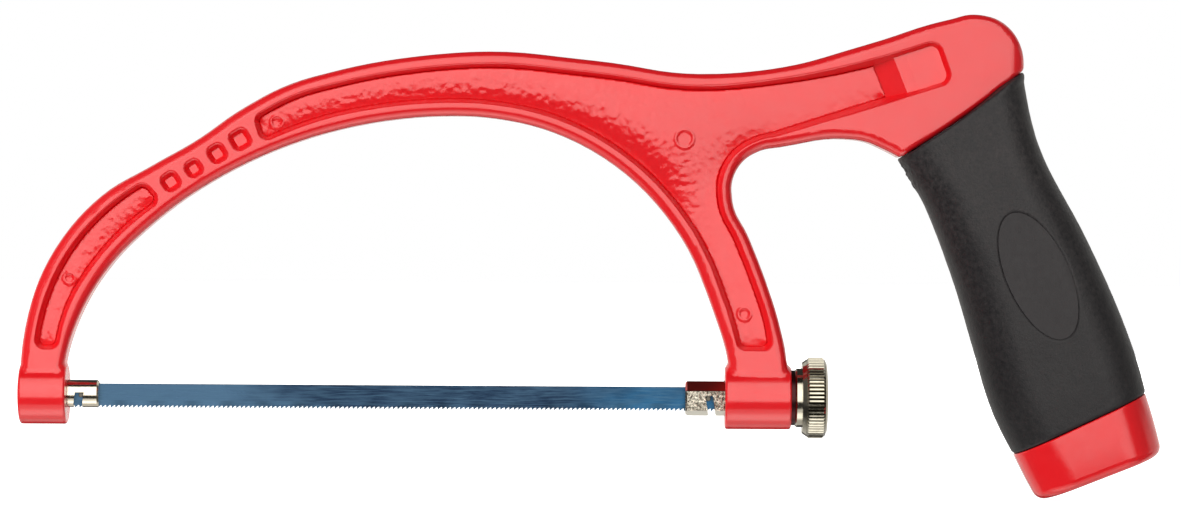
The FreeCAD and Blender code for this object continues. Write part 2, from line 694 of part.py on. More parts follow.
def cut_recesses(doc, body, size):
    """The recesses on both sides and the ramp inside the head's recess."""
    features = [
        sink_recess(doc, body, size, "front_recess", front_recess(size), "web_thickness / 2"),
        sink_recess(doc, body, size, "long_recess", long_recess(size), "web_thickness / 2")]
    for number, (middle, side, turn) in enumerate(DIMPLES, start=1):
        face = square_face(middle, side, turn, DIMPLE_CORNER)
        features.append(sink_recess(doc, body, size, "dimple_%d" % number, face,
                                    "frame_thickness / 2 - dimple_depth", "dimple_draft"))
    features += ejector_marks(body)
    doc.recompute()
    mirror_across(body, features)
    doc.recompute()

    # The floor rises over a ramp to a shallower floor in the head.
    ramp = sketch_on(body, "XY_Plane", "head_ramp", turn=size["grip_tilt"], base=(0, 0, 0))
    web = size["web_thickness"] / 2
    shallow = size["head_floor"]
    side = [vector(RAMP_START, web, 0), vector(RAMP_END, shallow - STEP_DROP, 0),
            vector(STEP_END, shallow, 0), vector(HEAD_WALL, shallow, 0)]
    other = [vector(point.x, -point.y, 0) for point in reversed(side)]
    draw_curves(ramp, lines_through(side + other + side[:1]))
    risen = pad(body, ramp, "15", symmetric=True)
    doc.recompute()
    face_level = size["frame_thickness"] / 2
    rims = fillet(body, risen, "rim_round", lambda edge: is_recess_rim(
        risen.Shape, edge, face_level) and not is_at_dimple(edge))
    doc.recompute()
    fillet(body, rims, "dimple_round", lambda edge: is_recess_rim(
        rims.Shape, edge, face_level) and is_at_dimple(edge))
    doc.recompute()


# ------------------------------------------------------------------------- blade and holders

def draw_pin_slot(sketch, pin_x, bearing_side, width):
    """A leaning slot, open at the bottom, whose bearing wall just clears the pin.

    bearing_side is 1 when the pin bears on the wall towards the handle and -1 for the other.
    """
    bearing = "(pin_diameter / 2 + pin_play) / cos(slot_lean)"
    top = "(pin_diameter / 2 + pin_play - pin_drop)"
    bottom = "(-hex_foot - 1)"
    sign = "%d" % bearing_side
    corners = []
    for level in (top, bottom):
        lean = "(%s + pin_drop) * tan(slot_lean)" % level
        corners.append(("%s + %s * (%s + %s)" % (pin_x, sign, bearing, lean), level))
    for level in (bottom, top):
        lean = "(%s + pin_drop) * tan(slot_lean)" % level
        corners.append(("%s + %s * (%s + %s - %s)" % (pin_x, sign, bearing, lean, width), level))
    draw_polygon(sketch, corners)


def make_front_holder(doc):
    """The round slotted stud pressed into the front boss."""
    body = new_body(doc, "front_blade_holder")
    profile = sketch_on(body, "XZ_Plane", "front_holder_profile")
    shoulder = "front_boss_end + part_gap"
    draw_polygon(profile, [
        ("stud_end + part_gap", "0"), ("stud_end + part_gap", "stud_diameter / 2 - stud_play"),
        (shoulder, "stud_diameter / 2 - stud_play"), (shoulder, "holder_diameter / 2"),
        ("holder_reach - holder_chamfer", "holder_diameter / 2"),
        ("holder_reach", "holder_diameter / 2 - holder_chamfer"), ("holder_reach", "0")])
    revolve(body, profile)
    slit = sketch_on(body, "XZ_Plane", "front_slit")
    draw_polygon(slit, [("slit_start", "-holder_diameter"), ("holder_reach + 1", "-holder_diameter"),
                        ("holder_reach + 1", "slit_top"), ("slit_start", "slit_top")])
    pocket(body, slit, "slit_width", symmetric=True)
    slot = sketch_on(body, "XZ_Plane", "front_pin_slot")
    draw_pin_slot(slot, "0", 1, "slot_width")
    pocket(body, slot, symmetric=True)


def make_rear_holder(doc):
    """The hexagonal slotted holder, drawn back by its threaded shank."""
    body = new_body(doc, "rear_blade_holder")
    hexagon = sketch_on(body, "YZ_Plane", "hexagon", offset="hex_start")
    draw_hexagon(hexagon, "0")
    block = pad(body, hexagon, "hex_end - hex_start")
    doc.recompute()
    chamfer(body, block, "holder_chamfer", lambda edge: is_at(edge, float(doc.sizes.get("hex_start"))))
    shank = sketch_on(body, "YZ_Plane", "draw_bolt", offset="hex_end")
    draw_circle(shank, "0", "0", "bolt_diameter")
    pad(body, shank, "bolt_end - hex_end")
    slit = sketch_on(body, "XZ_Plane", "rear_slit")
    draw_polygon(slit, [("hex_start - 1", "-hex_foot - 1"), ("slit_end", "-hex_foot - 1"),
                        ("slit_end", "slit_top"), ("hex_start - 1", "slit_top")])
    pocket(body, slit, "slit_width", symmetric=True)
    slot = sketch_on(body, "XZ_Plane", "rear_pin_slot")
    draw_pin_slot(slot, "pin_span", -1, "hex_slot_width")
    pocket(body, slot, symmetric=True)
    flare = sketch_on(body, "XZ_Plane", "rear_slot_flare")
    draw_polygon(flare, [("pin_span + hex_slot_width / 2", "-hex_foot / 2"),
                         ("pin_span + hex_slot_width / 2 + slot_flare", "-hex_foot - 1"),
                         ("pin_span", "-hex_foot - 1")])
    pocket(body, flare, symmetric=True)


def make_blade(doc, size):
    """The blade, with raker teeth that point away from the handle."""
    body = new_body(doc, "saw_blade")
    left, right = -size["blade_overhang"], size["pin_span"] + size["blade_overhang"]
    back, tip = size["blade_back"], -size["tooth_tip"]
    root = tip + size["tooth_depth"]
    pitch = 25.4 / size["teeth_per_inch"]
    count = int((right - left) / pitch) - 1
    first = left + (right - left - count * pitch) / 2
    points = [vector(right, root, 0), vector(right, back, 0), vector(left, back, 0),
              vector(left, root, 0)]
    for tooth in range(count):
        start = first + tooth * pitch
        points += [vector(start, root, 0), vector(start + 0.04 * pitch, tip, 0),
                   vector(start + 0.55 * pitch, root + 0.35 * (tip - root), 0),
                   vector(start + 0.85 * pitch, root, 0)]
    blade = sketch_on(body, "XZ_Plane", "blade_outline")
    draw_curves(blade, lines_through(points + points[:1]))
    for place in ("0", "pin_span"):
        draw_circle(blade, place, "-pin_drop", "pin_diameter + 2 * stud_play")
    pad(body, blade, "blade_gauge", symmetric=True)


def make_blade_pin(doc, name, place):
    """A short cross pin, bevelled at both ends."""
    body = new_body(doc, name)
    section = sketch_on(body, "XZ_Plane", name + "_section")
    draw_circle(section, place, "-pin_drop", "pin_diameter")
    rod = pad(body, section, "pin_length", symmetric=True)
    doc.recompute()
    chamfer(body, rod, "pin_diameter / 8", lambda edge: edge.Curve.TypeId == "Part::GeomCircle")


# ------------------------------------------------------------------------- the tension knob

def make_thrust_washer(doc):
    body = new_body(doc, "thrust_washer")
    ring = sketch_on(body, "YZ_Plane", "washer_ring", offset="washer_start")
    draw_circle(ring, "0", "0", "washer_diameter")
    draw_circle(ring, "0", "0", "bolt_hole")
    pad(body, ring, "washer_end - washer_start")


def make_tension_knob(doc, size):
    """A knurled disc on a hub, with a blind threaded bore."""
    body = new_body(doc, "tension_knob")
    profile = sketch_on(body, "XZ_Plane", "knob_profile")
    root = "(knob_diameter / 2 - knurl_depth)"
    draw_polygon(profile, [
        ("hub_start", "thread_bore / 2"), ("hub_start", "hub_diameter / 2 - holder_chamfer"),
        ("hub_start + holder_chamfer", "hub_diameter / 2"), ("disc_start", "hub_diameter / 2"),
        ("disc_start", "%s - 0.7" % root), ("knurl_start", root), ("knurl_end", root),
        ("knob_end - 0.1", "%s - 0.9" % root), ("knob_end", "hub_diameter / 4"), ("knob_end", "0"),
        ("bolt_end + 1", "0"), ("bolt_end + 1", "thread_bore / 2")])
    revolve(body, profile)
    knurl = sketch_on(body, "YZ_Plane", "knurl", offset="knurl_start")
    draw_curves(knurl, lines_through(knurl_points(size)))
    draw_circle(knurl, "0", "0", "hub_diameter")
    pad(body, knurl, "knurl_end - knurl_start")
    bevel = sketch_on(body, "XZ_Plane", "knurl_bevel")
    crest = "(knob_diameter / 2 + 0.1)"
    for end, way in (("knurl_start", "1"), ("knurl_end", "-1")):
        draw_polygon(bevel, [(end, "%s - 0.1" % root), (end, crest),
                             ("%s + %s * (knurl_depth + 0.2)" % (end, way), crest)])
    cut = body.newObject("PartDesign::Groove", "knurl_bevel_cut")
    cut.Profile = bevel
    cut.ReferenceAxis = (bevel, ["H_Axis"])
    cut.Angle = 360


def knurl_points(size):
    """A closed toothed outline with flat crests and V grooves."""
    crest = size["knob_diameter"] / 2
    root = crest - size["knurl_depth"]
    count = int(size["knurl_count"])
    points = []
    for tooth in range(count):
        for share, radius in ((0.0, root), (0.32, crest), (0.68, crest)):
            angle = 2 * math.pi * (tooth + share) / count
            points.append(vector(radius * math.cos(angle), radius * math.sin(angle), 0))
    return points + points[:1]


# ------------------------------------------------------------------------- the grip

def grip_body(doc, name):
    """A body whose Z axis runs up the grip from its foot."""
    body = new_body(doc, name)
    body.Placement.Rotation = FreeCAD.Rotation(vector(0, 1, 0), -1)
    body.setExpression("Placement.Rotation.Angle", "-sizes.grip_tilt * 1 deg")
    body.setExpression("Placement.Base.x", "sizes.grip_foot_x")
    body.setExpression("Placement.Base.z", "sizes.grip_foot_z")
    return body


def draw_section(sketch, middle, half_width, half_thickness):
    """A rounded rectangle, nearly a stadium, around a point of the X axis."""
    corner = 0.9 * half_thickness
    edges = []
    corners = [(1, 1), (-1, 1), (-1, -1), (1, -1)]
    ends = []
    for right, up in corners:
        centre = vector(middle + right * (half_width - corner), up * (half_thickness - corner), 0)
        side = centre + vector(right * corner, 0, 0)
        top = centre + vector(0, up * corner, 0)
        crown = centre + unit(vector(right, up, 0)) * corner
        start, end = (side, top) if right * up > 0 else (top, side)
        edges.append(Part.Arc(start, crown, end))
        ends.append((start, end))
    for index in range(4):
        edges.append(Part.LineSegment(ends[index][1], ends[(index + 1) % 4][0]))
    draw_curves(sketch, edges)


def loft_sections(doc, body, stations, shrink, additive=True):
    """A smooth loft through sections that are pulled in by shrink."""
    sections = []
    for number, (level, middle, width, thickness) in enumerate(stations, start=1):
        name = "section_%d" % number if additive else "hollow_%d" % number
        sketch = sketch_on(body, "XY_Plane", name, offset=str(level))
        draw_section(sketch, middle, width - shrink, thickness - shrink)
        sections.append(sketch)
    feature = loft(body, sections, additive)
    doc.recompute()
    return feature


def cut_end(body, name, level, tilt, side):
    """Cut off everything above (side 1) or below (side -1) a line across the grip."""
    sketch = sketch_on(body, "XZ_Plane", name)
    far = "%d" % (40 * side)
    line = "%s %s 40 * tan(%s)"
    left, right = line % (level, "-", tilt), line % (level, "+", tilt)
    draw_polygon(sketch, [("-40", left), ("40", right), ("40", right + " + " + far),
                          ("-40", left + " + " + far)])
    return pocket(body, sketch, symmetric=True)


def trim_to_seams(body, size):
    """Cut the top along the bulging seam and the foot along the cap's seam."""
    reach = 0.7 * size["seam_chord"]
    left, middle, right = [seam_point(size, step * reach, size["part_gap"]) for step in (-1, 0, 1)]
    above = vector(0, 40, 0)
    seam = sketch_on(body, "XZ_Plane", "top_seam")
    draw_curves(seam, [Part.Arc(left, middle, right)]
                + lines_through([right, right + above, left + above, left]))
    pocket(body, seam, symmetric=True)
    cut_end(body, "foot_seam", "(part_gap)", "cap_tilt", -1)


def draw_oval(sketch, size, grow):
    """The inlay's oval on the side of the grip."""
    lean = math.radians(90 + size["badge_turn"])
    centre = vector(size["badge_shift"], size["badge_height"], 0)
    along = vector(math.cos(lean), math.sin(lean), 0) * (size["badge_length"] / 2 + grow)
    across = unit(vector(-along.y, along.x, 0)) * (size["badge_width"] / 2 + grow)
    draw_curves(sketch, [Part.Ellipse(centre + along, centre + across, centre)])


def make_grip_sleeve(doc, size):
    """The soft outer sleeve, with an oval seat on each side."""
    body = grip_body(doc, "grip_sleeve")
    loft_sections(doc, body, GRIP_STATIONS, 0)
    loft_sections(doc, body, GRIP_STATIONS, size["skin"], additive=False)
    trim_to_seams(body, size)
    for name, side in (("left_seat", 1), ("right_seat", -1)):
        seat = sketch_on(body, "XZ_Plane", name, offset="%d * badge_level" % side)
        draw_oval(seat, size, size["part_gap"])
        pocket(body, seat, "10", reverse=side > 0)


def make_grip_core(doc, size):
    """The hard tube between the frame's tang and the sleeve."""
    body = grip_body(doc, "grip_core")
    loft_sections(doc, body, GRIP_STATIONS, size["skin"] + size["part_gap"])
    trim_to_seams(body, size)
    hole = sketch_on(body, "XY_Plane", "tang_hole")
    half_width = "(tang_width / 2 + part_gap)"
    half_depth = "(tang_thickness / 2 + part_gap)"
    draw_polygon(hole, [("-" + half_width, "-" + half_depth), (half_width, "-" + half_depth),
                        (half_width, half_depth), ("-" + half_width, half_depth)])
    pocket(body, hole, symmetric=True)


def make_badge(doc, size, name, side):
    """An oval inlay that carries on the curve of the sleeve."""
    body = grip_body(doc, name)
    loft_sections(doc, body, GRIP_STATIONS, 0)
    ring = sketch_on(body, "XZ_Plane", "around_oval")
    draw_polygon(ring, [("-60", "-60"), ("60", "-60"), ("60", "120"), ("-60", "120")])
    draw_oval(ring, size, 0)
    pocket(body, ring, symmetric=True)
    rest = sketch_on(body, "XZ_Plane", "behind_oval",
                     offset="%d * (badge_level + part_gap)" % side)
    draw_polygon(rest, [("-60", "-60"), ("60", "-60"), ("60", "120"), ("-60", "120")])
    pocket(body, rest, "60", reverse=side < 0)


def make_butt_cap(doc, size):
    """The cap that closes the grip, with a countersunk hole up its middle."""
    body = grip_body(doc, "butt_cap")
    solid = loft_sections(doc, body, CAP_STATIONS, 0)
    foot = -size["cap_length"]
    fillet(body, solid, "cap_round",
           lambda edge: all(abs(point.z - foot) < 1e-3 for point in edge.discretize(3)))
    trimmed = cut_end(body, "cap_seam", "(-part_gap)", "cap_tilt", 1)
    doc.recompute()
    fillet(body, trimmed, "cap_edge", lambda edge: min(point.z for point in edge.discretize(3)) > -2)
    doc.recompute()
    hole = sketch_on(body, "XZ_Plane", "countersink")
    draw_polygon(hole, [
        ("0", "-cap_length - 1"), ("screw_head / 2 + screw_play", "-cap_length - 1"),
        ("screw_head / 2 + screw_play", "-cap_length + screw_play"),
        ("screw_diameter / 2 + screw_play", "-cap_length + (screw_head - screw_diameter) / 2 + screw_play"),
        ("screw_diameter / 2 + screw_play", "10"), ("0", "10")])
    cut = body.newObject("PartDesign::Groove", "countersink_cut")
    cut.Profile = hole
    cut.ReferenceAxis = (hole, ["V_Axis"])
    cut.Angle = 360


def make_cap_screw(doc):
    """A countersunk screw with a cross recess."""
    body = grip_body(doc, "butt_cap_screw")
    profile = sketch_on(body, "XZ_Plane", "screw_profile")
    head = "(-cap_length + 2 * screw_play)"
    draw_polygon(profile, [
        ("0", head), ("screw_head / 2", head),
        ("screw_diameter / 2", "%s + (screw_head - screw_diameter) / 2" % head),
        ("screw_diameter / 2", "%s + screw_length - screw_diameter / 2" % head),
        ("0", "%s + screw_length" % head)])
    feature = body.newObject("PartDesign::Revolution", "screw_turned")
    feature.Profile = profile
    feature.ReferenceAxis = (profile, ["V_Axis"])
    feature.Angle = 360
    cross = sketch_on(body, "XY_Plane", "cross_recess", offset=head)
    arm, wall = "screw_head / 3.2", "screw_cross / 2"
    quarter = [(arm, "-" + wall), (arm, wall), (wall, wall)]
    corners = []
    for turn in range(4):
        for across, up in quarter:
            corners.append((across, up))
        quarter = [(negated(up), across) for across, up in quarter]
    draw_polygon(cross, corners)
    pocket(body, cross, "screw_head / 5", reverse=True)


def negated(text):
    return text[1:] if text.startswith("-") else "-" + text


# ------------------------------------------------------------------------- building and writing

def failed(item):
    return any(word in item.State for word in ("Invalid", "Error"))


def main():
    doc = FreeCAD.newDocument("mini_hacksaw")
    size = make_sheet(doc)
    make_bow_frame(doc, size)
    make_front_holder(doc)
    make_rear_holder(doc)
    make_blade(doc, size)
    make_blade_pin(doc, "front_blade_pin", "0")
    make_blade_pin(doc, "rear_blade_pin", "pin_span")
    make_thrust_washer(doc)
    make_tension_knob(doc, size)
    make_grip_sleeve(doc, size)
    make_grip_core(doc, size)
    make_badge(doc, size, "grip_badge_left", 1)
    make_badge(doc, size, "grip_badge_right", -1)
    make_butt_cap(doc, size)
    make_cap_screw(doc)
    doc.recompute()

    bodies = [item for item in doc.Objects if item.TypeId == "PartDesign::Body"]
    troubles = [item.Name for item in doc.Objects if failed(item)]
    troubles += [body.Label for body in bodies
                 if body.Shape.isNull() or not body.Shape.isValid() or len(body.Shape.Solids) != 1]
    for body in bodies:
        box = body.Shape.BoundBox
        print("%-20s %9.1f mm3  x %.2f..%.2f  y %.2f..%.2f  z %.2f..%.2f" % (
            body.Label, body.Shape.Volume, box.XMin, box.XMax, box.YMin, box.YMax,
            box.ZMin, box.ZMax))
    if troubles:
        raise RuntimeError("these failed: " + ", ".join(troubles))
    os.makedirs("parts", exist_ok=True)
    for body in bodies:
        body.Shape.exportStep("parts/%s.step" % body.Label)


main()
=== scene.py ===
"""The looks of a small cast-frame hacksaw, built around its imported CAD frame."""

import math

import bmesh
import bpy
import numpy
from mathutils import Matrix, Vector, noise
from mathutils.geometry import delaunay_2d_cdt
from mathutils.kdtree import KDTree


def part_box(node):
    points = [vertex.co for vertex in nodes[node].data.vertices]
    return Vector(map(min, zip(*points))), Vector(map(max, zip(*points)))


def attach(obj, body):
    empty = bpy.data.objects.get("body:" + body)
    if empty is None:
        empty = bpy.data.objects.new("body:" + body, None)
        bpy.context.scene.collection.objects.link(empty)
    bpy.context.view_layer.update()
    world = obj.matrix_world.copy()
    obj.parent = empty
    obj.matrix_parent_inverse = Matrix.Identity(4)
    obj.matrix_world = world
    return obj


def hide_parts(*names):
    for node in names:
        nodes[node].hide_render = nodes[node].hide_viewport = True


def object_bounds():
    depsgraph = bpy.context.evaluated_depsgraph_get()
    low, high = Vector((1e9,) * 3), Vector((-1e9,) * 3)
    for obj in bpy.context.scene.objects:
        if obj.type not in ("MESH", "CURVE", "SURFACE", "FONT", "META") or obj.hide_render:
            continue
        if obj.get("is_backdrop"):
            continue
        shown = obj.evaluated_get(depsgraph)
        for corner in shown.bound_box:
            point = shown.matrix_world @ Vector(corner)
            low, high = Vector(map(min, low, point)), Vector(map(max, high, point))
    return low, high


MM = 0.001

# How bright the soft box looks in a shiny surface, and how much light comes from all round,
# where 1 is the white of the background.
BOX_STRENGTH = 3.1
AMBIENT = 0.22

# The grip's own axes: it leans back from the frame and its two seams are cut at a slant.
GRIP_LEAN = math.radians(21.5)
GRIP_FOOT = Vector((235.6, 0.0, -5.6)) * MM
TOP_SEAM_LEVEL = 78.1
TOP_SEAM_TILT = math.radians(14.06)
TOP_SEAM_CHORD = 35.8
TOP_SEAM_SAG = 0.85
FOOT_SEAM_TILT = math.radians(3.9)
SEAM_GAP = 0.08
SLEEVE_WALL = 3.0
# Height, middle, half width and half thickness of the grip's sections, in millimetres.
GRIP_SECTIONS = [
    (-4.0, 0.0, 16.6, 11.2), (6.0, 0.0, 17.8, 11.9), (14.0, 0.2, 18.1, 12.0),
    (26.0, 0.7, 17.5, 12.0), (42.0, 0.8, 16.3, 11.4), (60.0, -0.2, 15.1, 10.2),
    (70.0, -0.7, 15.9, 9.5), (84.0, -0.2, 18.0, 9.2),
]
# The radius of a section's corners, as a share of its half thickness.
CORNER_SHARE = 0.9
# The oval inlay, in millimetres: its length, width and centre in the grip's axes, then its
# lean.
OVAL_LENGTH = 31.8
OVAL_WIDTH = 14.6
OVAL_CENTRE = (2.7, 36.3)
OVAL_LEAN = math.radians(92.9)

# Where along the saw, in millimetres, the casting's webs turn smoother towards the head.
HEAD_FADE = (138.0, 162.0)
# The knob's knurl, in millimetres: its ends along the saw, and the radii between which the
# painted shade in its gullets thins out.
KNURL_ENDS = (171.2, 175.4)
KNURL_RADII = (9.1, 9.4)
# The heights of the rear holder's front facet, in millimetres, and how sharp its edges are.
FACET_LOW = -3.15
FACET_HIGH = 1.5
FACET_EDGE = 0.15


# ------------------------------------------------------------------ material helpers

class Graph:
    """A node tree, with short calls for the nodes that the looks use."""

    def __init__(self, tree, place):
        self.tree = tree
        self.place = self.node("ShaderNodeTexCoord").outputs[place]

    def node(self, kind, settings=None, **inputs):
        made = self.tree.nodes.new(kind)
        for key, value in (settings or {}).items():
            setattr(made, key, value)
        for key, value in inputs.items():
            self.feed(made.inputs[key.replace("_", " ")], value)
        return made

    def feed(self, socket, value):
        if isinstance(value, bpy.types.NodeSocket):
            self.tree.links.new(value, socket)
        else:
            socket.default_value = value

    def stretched(self, scale):
        return self.node("ShaderNodeMapping", Vector=self.place, Scale=scale).outputs["Vector"]

    def noise(self, size, detail=3.0, roughness=0.5, place=None):
        """Noise whose blotches are about size millimetres across."""
        made = self.node("ShaderNodeTexNoise", Vector=place or self.place,
                         Scale=1 / (size * MM), Detail=detail, Roughness=roughness)
        return made.outputs["Fac"]

    def cells(self, size):
        """Pebbles about size millimetres across."""
        made = self.node("ShaderNodeTexVoronoi", {"feature": "SMOOTH_F1"}, Vector=self.place,
                         Scale=1 / (size * MM))
        return made.outputs["Distance"]

    def spread(self, value, low, high, to_low=0.0, to_high=1.0, smooth=False):
        """The value, from low to high, spread from to_low to to_high and held beyond."""
        kind = "SMOOTHSTEP" if smooth else "LINEAR"
        made = self.node("ShaderNodeMapRange", {"interpolation_type": kind}, Value=value)
        for socket, number in zip(made.inputs[1:5], (low, high, to_low, to_high)):
            self.feed(socket, number)
        return made.outputs["Result"]

    def compute(self, operation, first, second=0.0):
        made = self.node("ShaderNodeMath", {"operation": operation})
        self.feed(made.inputs[0], first)
        self.feed(made.inputs[1], second)
        return made.outputs["Value"]

    def times(self, first, second):
        return self.compute("MULTIPLY", first, second)

    def larger(self, first, second):
        return self.compute("MAXIMUM", first, second)

    def blend(self, share, first, second):
        """A colour between two colours."""
        made = self.node("ShaderNodeMix", {"data_type": "RGBA"})
        self.feed(made.inputs[0], share)
        self.feed(made.inputs[6], first)
        self.feed(made.inputs[7], second)
        return made.outputs[2]

    def mix(self, share, first, second):
        """A number between two numbers."""
        made = self.node("ShaderNodeMix", Factor=share)
        self.feed(made.inputs[2], first)
        self.feed(made.inputs[3], second)
        return made.outputs[0]

    def bump(self, height, depth, normal=None):
        """Raise the surface by height times depth millimetres."""
        made = self.node("ShaderNodeBump", Height=height, Distance=depth * MM, Strength=1.0)
        if normal:
            self.feed(made.inputs["Normal"], normal)
        return made.outputs["Normal"]

    def axis(self, letter):
        return self.node("ShaderNodeSeparateXYZ", Vector=self.place).outputs[letter]

    def steps(self, value, stops):
        """A piecewise line through (angle, level) stops, for angles from -90 to 90 degrees."""
        made = self.node("ShaderNodeValToRGB", Fac=self.spread(value, -90.0, 90.0))
        ramp = made.color_ramp.elements
        for angle, level in stops:
            ramp.new((angle + 90) / 180).color = (level, level, level, 1)
        ramp.remove(ramp[-1])
        ramp.remove(ramp[0])
        return made.outputs["Color"]


class Look(Graph):
    """A node material whose shader is set one named input at a time."""

    def __init__(self, name):
        self.material = bpy.data.materials.new(name)
        self.material.use_nodes = True
        super().__init__(self.material.node_tree, "Object")
        self.shader = self.tree.nodes["Principled BSDF"]

    def set(self, **inputs):
        for key, value in inputs.items():
            self.feed(self.shader.inputs[key.replace("_", " ")], value)


def colour(red, green, blue):
    """A display colour, 0 to 255, as the linear colour that nodes take."""
    def linear(value):
        share = value / 255
        return share / 12.92 if share <= 0.04045 else ((share + 0.055) / 1.055) ** 2.4
    return (linear(red), linear(green), linear(blue), 1.0)


def red_coat(name, gloss, web_height=0.0):
    """Red coat whose refractive index is gloss.

    It has a strong orange peel nearer than web_height millimetres to the saw's middle plane.
    """
    look = Look(name)
    tone = look.noise(9.0, 2.0)
    look.set(Base_Color=look.blend(tone, colour(229, 22, 30), colour(237, 28, 36)))
    smear = look.noise(2.5, 4.0, 0.6)
    look.set(Roughness=look.spread(smear, 0.3, 0.7, 0.16, 0.23))
    look.set(Coat_Weight=0.1, Coat_Roughness=0.06, IOR=gloss)
    fine = look.bump(look.noise(1.6, 2.0), 0.012)
    if web_height:
        side = look.compute("ABSOLUTE", look.axis("Y"))
        sunk = look.spread(side, web_height * MM, (web_height + 0.8) * MM, 1.0, 0.06, True)
        calm = look.spread(look.axis("X"), HEAD_FADE[0] * MM, HEAD_FADE[1] * MM, 1.0, 0.35)
        peel = look.times(look.noise(1.2, 2.0, 0.4), look.times(sunk, calm))
        fine = look.bump(peel, 0.085, fine)
    look.set(Normal=fine)
    return look.material


def grip_rubber():
    """Matt, finely pebbled, mottled rubber, with painted shade that makes it darker towards the foot.
    """
    look = Look("grip_rubber")
    mottle = look.noise(1.1, 5.0, 0.65)
    cloud = look.noise(7.0, 3.0, 0.5)
    tone = look.times(look.spread(mottle, 0.32, 0.68), look.spread(cloud, 0.2, 0.8, 0.5, 1.0))
    # Painted shade: below 60 mm the mottled tone darkens, down to 0.45 of itself under 10 mm.
    mottle_and_foot_shade = look.times(tone, look.spread(look.axis("Z"), 10 * MM, 60 * MM, 0.45, 1.0))
    look.set(Base_Color=look.blend(mottle_and_foot_shade, colour(23, 22, 24), colour(60, 56, 56)))
    look.set(Roughness=look.spread(mottle, 0.3, 0.7, 0.46, 0.6), Specular_IOR_Level=0.3)
    grain = look.bump(look.noise(0.32, 2.0, 0.6), 0.05)
    look.set(Normal=look.bump(look.cells(0.7), 0.03, grain))
    return look.material


def badge_plastic():
    """The oval inlay: smooth, with faint cloudy marks."""
    look = Look("badge_plastic")
    mottle = look.noise(1.4, 4.0, 0.6)
    look.set(Base_Color=look.blend(mottle, colour(37, 35, 36), colour(49, 46, 47)))
    look.set(Roughness=look.spread(mottle, 0.3, 0.7, 0.5, 0.62), Specular_IOR_Level=0.3)
    look.set(Normal=look.bump(look.noise(0.5, 2.0), 0.02))
    return look.material


def polished(look):
    """Finish a nickel look with light smears and a slightly wavy surface."""
    look.set(Roughness=look.spread(look.noise(0.7, 3.0), 0.3, 0.7, 0.08, 0.2))
    look.set(Normal=look.bump(look.noise(1.2, 3.0), 0.018))
    return look.material


def turned_nickel():
    """Warm nickel plate over turned metal."""
    look = Look("turned_nickel")
    stain = look.noise(2.2, 4.0, 0.6)
    look.set(Base_Color=look.blend(stain, colour(170, 162, 146), colour(210, 202, 186)), Metallic=1.0)
    return polished(look)


def knurled_nickel():
    """The knob's plate, with painted shade down in the gullets of its knurl."""
    look = Look("knob_nickel")
    aside, level, along = look.axis("Y"), look.axis("Z"), look.axis("X")
    squares = look.compute("ADD", look.times(aside, aside), look.times(level, level))
    radius = look.compute("SQRT", squares)
    # Painted shade: the plate darkens below the knurl's crests, down in its gullets.
    gullet_shade = look.spread(radius, KNURL_RADII[0] * MM, KNURL_RADII[1] * MM, 1.0, 0.0)
    start, end, fade = KNURL_ENDS[0] * MM, KNURL_ENDS[1] * MM, 0.2 * MM
    grooved = look.times(look.spread(along, start, start + fade),
                         look.spread(along, end - fade, end, 1.0, 0.0))
    plate = look.blend(look.noise(2.2, 4.0, 0.6), colour(136, 131, 118), colour(188, 183, 168))
    # Where the gullets are, the plate turns near black as painted shade.
    shaded_gullets = look.times(gullet_shade, grooved)
    look.set(Base_Color=look.blend(shaded_gullets, plate, colour(34, 30, 26)), Metallic=1.0)
    return polished(look)


def cast_nickel():
    """Nickel plate, coarse as cast on the front facet but smooth on the slanting ones.

    The upper slanting facet is tinted with the dark red that it mirrors from the casting.
    """
    look = Look("cast_nickel")
    level = look.axis("Z")
    upper = look.spread(level, FACET_HIGH * MM, (FACET_HIGH + FACET_EDGE) * MM)
    lower = look.spread(level, FACET_LOW * MM, (FACET_LOW + FACET_EDGE) * MM, 1.0, 0.0)
    grainy = look.compute("SUBTRACT", 1.0, look.larger(upper, lower))
    stain = look.spread(look.noise(0.55, 4.0, 0.6), 0.36, 0.64)
    coarse = look.blend(stain, colour(84, 78, 68), colour(226, 219, 203))
    smooth = look.blend(upper, colour(214, 210, 200), colour(190, 62, 52))
    look.set(Base_Color=look.blend(grainy, smooth, coarse), Metallic=1.0)
    look.set(Roughness=look.spread(grainy, 0.0, 1.0, 0.3, 0.26))
    look.set(Normal=look.bump(look.times(look.noise(0.55, 3.0, 0.55), grainy), 0.5))
    return look.material


def blade_steel():
    """Blued spring steel: brushed along its length, paler in front and bluer at the rear."""
    look = Look("blade_steel")
    strokes = look.noise(0.4, 4.0, 0.65, look.stretched((0.06, 1.0, 1.0)))
    heat = look.noise(9.0, 2.0, 0.5, look.stretched((1.0, 1.0, 2.0)))
    front = look.spread(look.axis("X"), 28 * MM, 58 * MM, 1.0, 0.0, True)
    rear = look.spread(look.axis("X"), 112 * MM, 134 * MM, 0.0, 0.9, True)
    pale = look.compute("ADD", front, look.spread(heat, 0.3, 0.7, -0.15, 0.3))
    blue = look.blend(pale, colour(13, 30, 50), colour(49, 73, 95))
    bright = look.times(rear, look.spread(heat, 0.3, 0.6, 0.5, 1.0))
    blue = look.blend(bright, blue, colour(26, 69, 100))
    scratched = look.blend(look.spread(strokes, 0.42, 0.7, 0.0, 0.45), blue, colour(68, 98, 122))
    look.set(Base_Color=scratched, Metallic=0.9)
    look.set(Roughness=look.spread(strokes, 0.3, 0.7, 0.24, 0.4), Normal=look.bump(strokes, 0.012))
    return look.material


